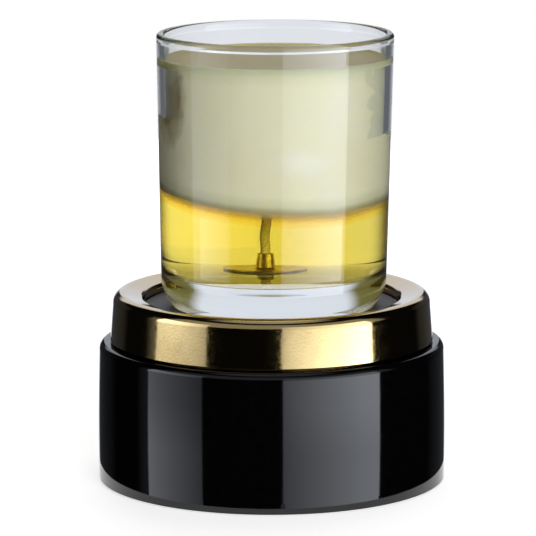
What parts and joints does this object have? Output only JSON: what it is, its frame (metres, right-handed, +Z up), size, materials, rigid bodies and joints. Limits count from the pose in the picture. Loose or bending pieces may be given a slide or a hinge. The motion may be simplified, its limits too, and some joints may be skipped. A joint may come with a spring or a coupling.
{
  "type": "candle warmer",
  "caption": "Plug-in plate candle warmer: glossy black drum with a gold collar, hot plate, and a lift-off glass jar candle melted from below.",
  "frame": {"origin": "on the surface that the feet stand on, on the axis of the housing", "axes": "+Z up, front towards -Y, switch and cord gland at +Y"},
  "size_m": [0.1314, 0.1314, 0.1693],
  "materials": {
    "black_glaze": "glossy black glaze",
    "gold_lustre": "polished gold lustre over glaze",
    "black_silicone": "matte",
    "plate_coating": "dark grey satin non-stick coat",
    "red_silicone": "matte",
    "zinc_steel": "bright zinc plated",
    "mica": "satin, slightly silvery",
    "heater_alloy": "rolled",
    "ceramic_fibre": "fibrous",
    "steatite": "unglazed",
    "brass_parts": "turned and pressed brass",
    "fuse_case": "drawn case",
    "glass_sleeve": "braided glass-fibre sleeving",
    "base_plastic": "fine moulded texture",
    "foot_rubber": "matte",
    "grommet_rubber": "satin",
    "block_ceramic": "unglazed",
    "switch_plastic": "satin moulded nylon",
    "rocker_plastic": "glossy moulded nylon",
    "lead_black": "silicone insulation",
    "lead_white": "silicone insulation",
    "clear_glass": "clear, fire polished",
    "ivory_wax": "opaque solid wax",
    "clear_melt": "clear yellow melted wax",
    "cotton": "waxed braided cotton",
    "tab_brass": "pressed sheet"
  },
  "bodies": {
    "warmer": {"ceramic_housing": "black_glaze", "gold_collar": "gold_lustre", "collar_gasket": "black_silicone", "hot_plate": "plate_coating", "plate_seal": "red_silicone", "plate_studs": "zinc_steel", "mica_upper": "mica", "heater_foil": "heater_alloy", "mica_lower": "mica", "insulation_pad": "ceramic_fibre", "clamp_plate": "zinc_steel", "clamp_washers": "zinc_steel", "clamp_nuts": "zinc_steel", "heater_terminals": "brass_parts", "terminal_bushings": "steatite", "crimp_sleeves": "brass_parts", "thermal_fuse": "fuse_case", "fuse_sleeve": "glass_sleeve", "fuse_clip": "zinc_steel", "clip_rivets": "zinc_steel", "tie_posts": "brass_parts", "base_plate": "base_plastic", "base_screws": "zinc_steel", "rubber_feet": "foot_rubber", "cord_grommet": "grommet_rubber", "terminal_block": "block_ceramic", "terminal_tubes": "brass_parts", "terminal_screws": "zinc_steel", "block_screws": "zinc_steel", "switch_housing": "switch_plastic", "switch_pivot": "zinc_steel", "switch_terminals": "brass_parts", "spade_receptacles": "brass_parts", "lead_line": "lead_black", "lead_switched": "lead_black", "lead_neutral": "lead_white"},
    "candle": {"jar": "clear_glass", "solid_wax": "ivory_wax", "melted_wax": "clear_melt", "wick": "cotton", "wick_tab": "tab_brass"},
    "rocker": {"rocker": "rocker_plastic", "contact_bridge": "brass_parts"}
  },
  "joints": [
    {"name": "candle_lift", "type": "slide", "parent": "warmer", "child": "candle", "axis": [0, 0, 1], "range_m": [0, 0.11]},
    {"name": "rocker_press", "type": "hinge", "parent": "warmer", "child": "rocker", "pos_m": [0, 0.0603, 0.032], "axis": [0, 0, -1], "range_deg": [0, 18]}
  ]
}
